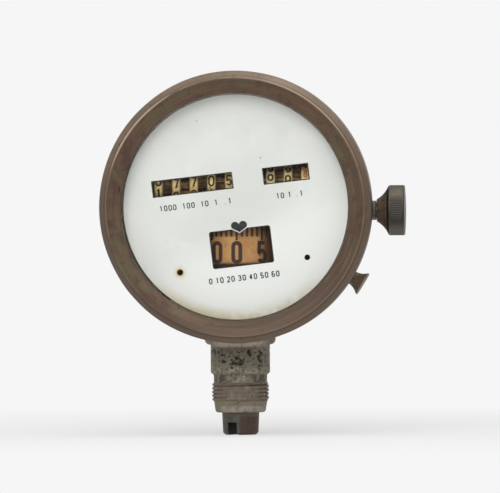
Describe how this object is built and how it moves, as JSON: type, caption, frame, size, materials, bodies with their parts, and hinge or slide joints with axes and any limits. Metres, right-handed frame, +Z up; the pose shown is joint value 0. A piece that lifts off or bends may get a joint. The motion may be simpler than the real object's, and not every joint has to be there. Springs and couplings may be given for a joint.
{
  "type": "vintage drum speedometer",
  "caption": "Round bronze dash speedometer with white dial, magnetic speed drum, season and trip mileage registers, reset knob, pull button and threaded drive stem.",
  "frame": {"origin": "centre of the case's flat rear face, on the axis of the round case", "axes": "+Y out of the rear face, so the dial faces -Y; +Z up, away from the drive stem; +X to the right of the dial, toward the knob"},
  "size_m": [0.1019, 0.0532, 0.1219],
  "materials": {
    "bronze": "aged brown bronze",
    "clear_glass": "flat clear glass",
    "dark_lacquer": "dark lacquer",
    "white_enamel": "aged white enamel",
    "brass_frame": "plain brass",
    "screw_steel": "turned steel",
    "stem_metal": "pitted plated brass",
    "shaft_steel": "turned steel",
    "tip_steel": "dark rusted steel",
    "magnet_steel": "dark magnet steel",
    "gear_brass": "cut brass",
    "jewel": "polished stone",
    "drum_aluminium": "tan paint on aluminium",
    "spring_steel": "blued steel",
    "cream_wheel": "cream paint on aluminium",
    "orange_wheel": "orange paint on aluminium",
    "knob_bronze": "dark worn bronze"
  },
  "bodies": {
    "base": {"case": "bronze", "bezel": "bronze", "glass": "clear_glass", "dial_ring": "dark_lacquer", "dial": "white_enamel", "dial_bed": "dark_lacquer", "movement_plate": "brass_frame", "movement_screws": "screw_steel", "frame_screws": "screw_steel", "left_bracket": "brass_frame", "middle_bracket": "brass_frame", "right_bracket": "brass_frame", "drum_bridge": "brass_frame", "lower_bracket": "brass_frame", "side_bracket": "brass_frame", "stem": "stem_metal", "stem_nut": "brass_frame", "lower_bush": "brass_frame", "upper_bush": "brass_frame", "upper_jewel": "jewel", "hairspring": "spring_steel", "season_arbor": "shaft_steel", "season_pinion_arbor": "shaft_steel", "trip_pinion_arbor": "shaft_steel", "knob_bush": "knob_bronze", "button_bush": "knob_bronze", "button_spring": "spring_steel"},
    "drive": {"drive_shaft": "shaft_steel", "drive_tip": "tip_steel", "drive_worm": "shaft_steel", "magnet": "magnet_steel", "magnet_hub": "gear_brass", "lower_jewel": "jewel"},
    "drum": {"speed_drum": "drum_aluminium", "drum_arbor": "shaft_steel"},
    "cross": {"cross_arbor": "shaft_steel", "cross_wheel": "gear_brass"},
    "side": {"side_shaft": "shaft_steel", "side_wheel": "gear_brass"},
    "carry": {"carry_shaft": "shaft_steel", "carry_wheel": "gear_brass", "carry_gears": "gear_brass"},
    "trip_arbor": {"trip_arbor": "shaft_steel"},
    "knob": {"reset_spindle": "shaft_steel", "reset_knob": "knob_bronze"},
    "button": {"pull_button": "knob_bronze"},
    "season_wheel_1": {"season_wheel_1": "cream_wheel"},
    "season_wheel_2": {"season_wheel_2": "cream_wheel"},
    "season_wheel_3": {"season_wheel_3": "cream_wheel"},
    "season_wheel_4": {"season_wheel_4": "cream_wheel"},
    "season_wheel_5": {"season_wheel_5": "cream_wheel"},
    "season_pinion_1": {"season_pinion_1": "gear_brass"},
    "season_pinion_2": {"season_pinion_2": "gear_brass"},
    "season_pinion_3": {"season_pinion_3": "gear_brass"},
    "season_pinion_4": {"season_pinion_4": "gear_brass"},
    "trip_wheel_1": {"trip_wheel_1": "cream_wheel"},
    "trip_wheel_2": {"trip_wheel_2": "cream_wheel"},
    "trip_wheel_3": {"trip_wheel_3": "orange_wheel"},
    "trip_pinion_1": {"trip_pinion_1": "gear_brass"},
    "trip_pinion_2": {"trip_pinion_2": "gear_brass"}
  },
  "joints": [
    {"name": "drive_spin", "type": "hinge", "parent": "base", "child": "drive", "pos_m": [0, -0.025, 0], "axis": [0, 0, -1], "continuous": true},
    {"name": "drum_swing", "type": "hinge", "parent": "base", "child": "drum", "pos_m": [0, -0.025, 0], "axis": [0, 0, -1], "range_deg": [0, 332], "stiffness_Nm_per_rad": 0.0002},
    {"name": "cross_spin", "type": "hinge", "parent": "base", "child": "cross", "pos_m": [0, -0.0354, -0.0285], "axis": [1, 0, 0], "continuous": true},
    {"name": "side_spin", "type": "hinge", "parent": "base", "child": "side", "pos_m": [0.0205, -0.0274, 0], "axis": [0, 0, 1], "continuous": true},
    {"name": "carry_spin", "type": "hinge", "parent": "base", "child": "carry", "pos_m": [0, -0.0354, 0.0205], "axis": [1, 0, 0], "continuous": true},
    {"name": "season_wheel_1_spin", "type": "hinge", "parent": "base", "child": "season_wheel_1", "pos_m": [0, -0.0354, 0.0085], "axis": [-1, 0, 0], "continuous": true},
    {"name": "season_wheel_2_spin", "type": "hinge", "parent": "base", "child": "season_wheel_2", "pos_m": [0, -0.0354, 0.0085], "axis": [-1, 0, 0], "continuous": true},
    {"name": "season_wheel_3_spin", "type": "hinge", "parent": "base", "child": "season_wheel_3", "pos_m": [0, -0.0354, 0.0085], "axis": [-1, 0, 0], "continuous": true},
    {"name": "season_wheel_4_spin", "type": "hinge", "parent": "base", "child": "season_wheel_4", "pos_m": [0, -0.0354, 0.0085], "axis": [-1, 0, 0], "continuous": true},
    {"name": "season_wheel_5_spin", "type": "hinge", "parent": "base", "child": "season_wheel_5", "pos_m": [0, -0.0354, 0.0085], "axis": [-1, 0, 0], "continuous": true},
    {"name": "season_pinion_1_spin", "type": "hinge", "parent": "base", "child": "season_pinion_1", "pos_m": [0, -0.027, 0.0085], "axis": [-1, 0, 0], "continuous": true},
    {"name": "season_pinion_2_spin", "type": "hinge", "parent": "base", "child": "season_pinion_2", "pos_m": [0, -0.027, 0.0085], "axis": [-1, 0, 0], "continuous": true},
    {"name": "season_pinion_3_spin", "type": "hinge", "parent": "base", "child": "season_pinion_3", "pos_m": [0, -0.027, 0.0085], "axis": [-1, 0, 0], "continuous": true},
    {"name": "season_pinion_4_spin", "type": "hinge", "parent": "base", "child": "season_pinion_4", "pos_m": [0, -0.027, 0.0085], "axis": [-1, 0, 0], "continuous": true},
    {"name": "trip_wheel_1_spin", "type": "hinge", "parent": "base", "child": "trip_wheel_1", "pos_m": [0, -0.0354, 0.0085], "axis": [-1, 0, 0], "continuous": true},
    {"name": "trip_wheel_2_spin", "type": "hinge", "parent": "base", "child": "trip_wheel_2", "pos_m": [0, -0.0354, 0.0085], "axis": [-1, 0, 0], "continuous": true},
    {"name": "trip_wheel_3_spin", "type": "hinge", "parent": "base", "child": "trip_wheel_3", "pos_m": [0, -0.0354, 0.0085], "axis": [-1, 0, 0], "continuous": true},
    {"name": "trip_pinion_1_spin", "type": "hinge", "parent": "base", "child": "trip_pinion_1", "pos_m": [0, -0.0354, 0.00178], "axis": [-1, 0, 0], "continuous": true},
    {"name": "trip_pinion_2_spin", "type": "hinge", "parent": "base", "child": "trip_pinion_2", "pos_m": [0, -0.0354, 0.00178], "axis": [-1, 0, 0], "continuous": true},
    {"name": "knob_turn", "type": "hinge", "parent": "base", "child": "knob", "pos_m": [0, -0.0354, -0.0015], "axis": [1, 0, 0], "continuous": true},
    {"name": "trip_arbor_turn", "type": "hinge", "parent": "base", "child": "trip_arbor", "pos_m": [0, -0.0354, 0.0085], "axis": [1, 0, 0], "continuous": true},
    {"name": "button_pull", "type": "slide", "parent": "base", "child": "button", "axis": [0.848, 0, -0.5299], "range_m": [0, 0.003], "stiffness_N_per_m": 300, "deforming": ["button_spring"]}
  ],
  "couplings": [
    {"joint": "cross_spin", "follows": "drive_spin", "ratio": 0.1},
    {"joint": "side_spin", "follows": "drive_spin", "ratio": -0.01},
    {"joint": "carry_spin", "follows": "drive_spin", "ratio": 0.001},
    {"joint": "season_wheel_1_spin", "follows": "drive_spin", "ratio": 0.0000001},
    {"joint": "season_wheel_2_spin", "follows": "drive_spin", "ratio": 0.000001},
    {"joint": "season_wheel_3_spin", "follows": "drive_spin", "ratio": 0.00001},
    {"joint": "season_wheel_4_spin", "follows": "drive_spin", "ratio": 0.0001},
    {"joint": "season_wheel_5_spin", "follows": "drive_spin", "ratio": 0.001},
    {"joint": "season_pinion_1_spin", "follows": "drive_spin", "ratio": -0.00000025},
    {"joint": "season_pinion_2_spin", "follows": "drive_spin", "ratio": -0.0000025},
    {"joint": "season_pinion_3_spin", "follows": "drive_spin", "ratio": -0.000025},
    {"joint": "season_pinion_4_spin", "follows": "drive_spin", "ratio": -0.00025},
    {"joint": "trip_wheel_1_spin", "follows": "drive_spin", "ratio": 0.00001},
    {"joint": "trip_wheel_2_spin", "follows": "drive_spin", "ratio": 0.0001},
    {"joint": "trip_wheel_3_spin", "follows": "drive_spin", "ratio": 0.001},
    {"joint": "trip_pinion_1_spin", "follows": "drive_spin", "ratio": -0.000025},
    {"joint": "trip_pinion_2_spin", "follows": "drive_spin", "ratio": -0.00025},
    {"joint": "trip_arbor_turn", "follows": "knob_turn", "ratio": -1}
  ]
}
